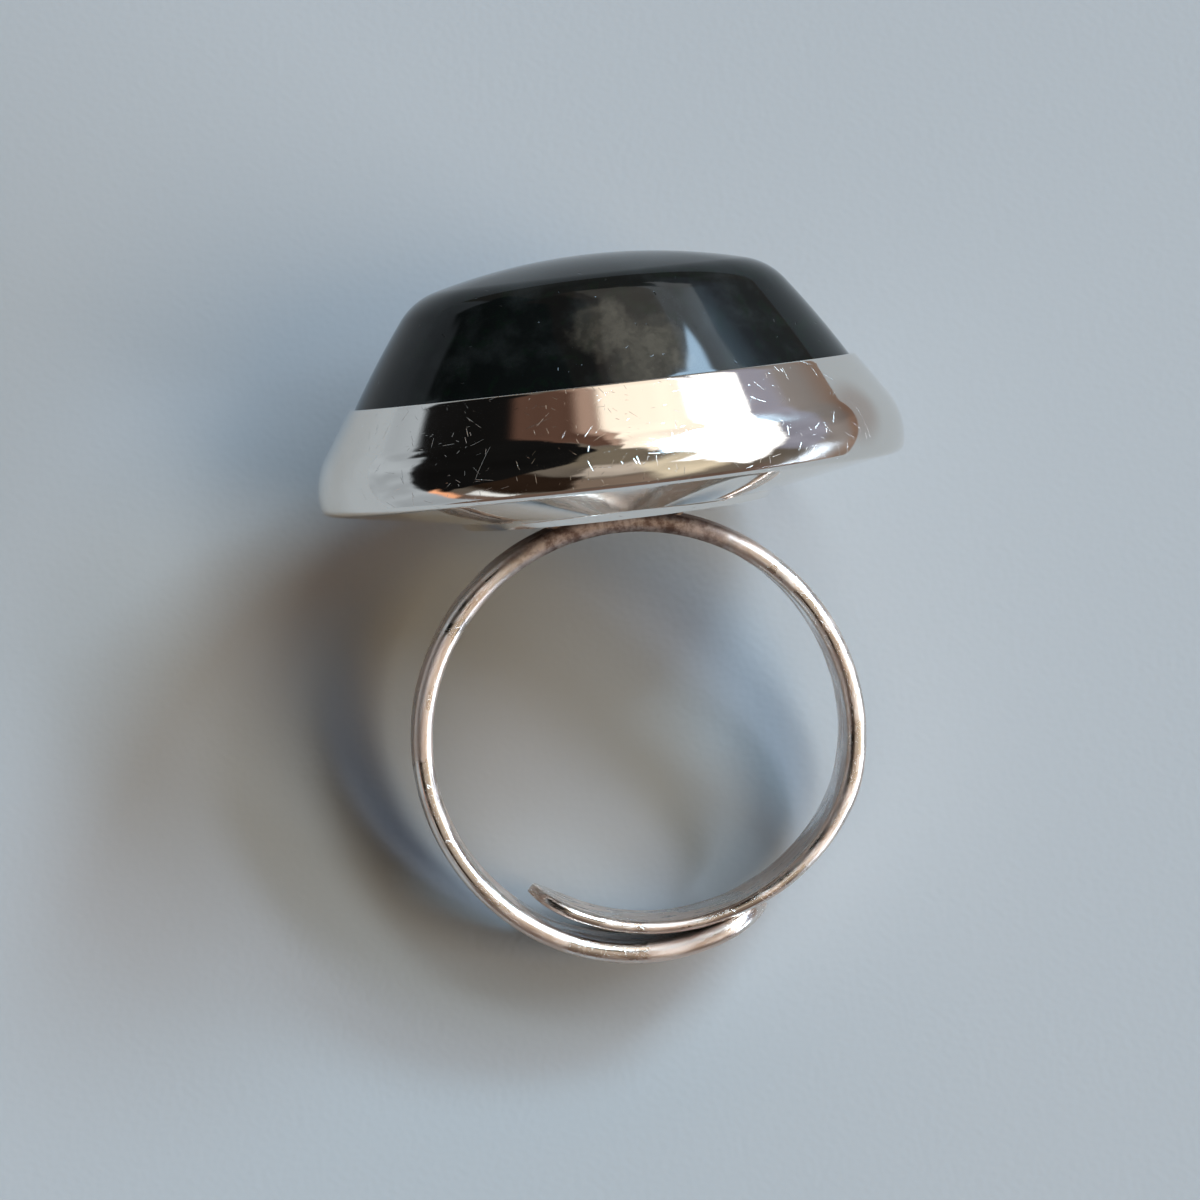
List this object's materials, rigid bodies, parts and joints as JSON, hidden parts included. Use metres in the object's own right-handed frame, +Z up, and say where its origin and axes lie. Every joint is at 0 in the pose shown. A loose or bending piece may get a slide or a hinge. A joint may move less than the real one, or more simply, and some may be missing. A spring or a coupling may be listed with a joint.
{
  "type": "moss agate ring",
  "caption": "Adjustable silver ring: an open overlapping band soldered under a flared oval cup that holds a high dark moss agate dome.",
  "frame": {"origin": "on the floor, under the middle of the ring as it lies on its side", "axes": "+Y towards the stone, +Z up from the floor, +X along the length of the oval stone"},
  "size_m": [0.0256, 0.0306, 0.0188],
  "materials": {
    "silver": "polished silver, lightly tarnished and scratched",
    "moss_agate": "polished, dark green-black with a cloudy grey-green patch"
  },
  "bodies": {
    "root": {"ring_mount": "silver", "stone": "moss_agate"}
  },
  "joints": []
}
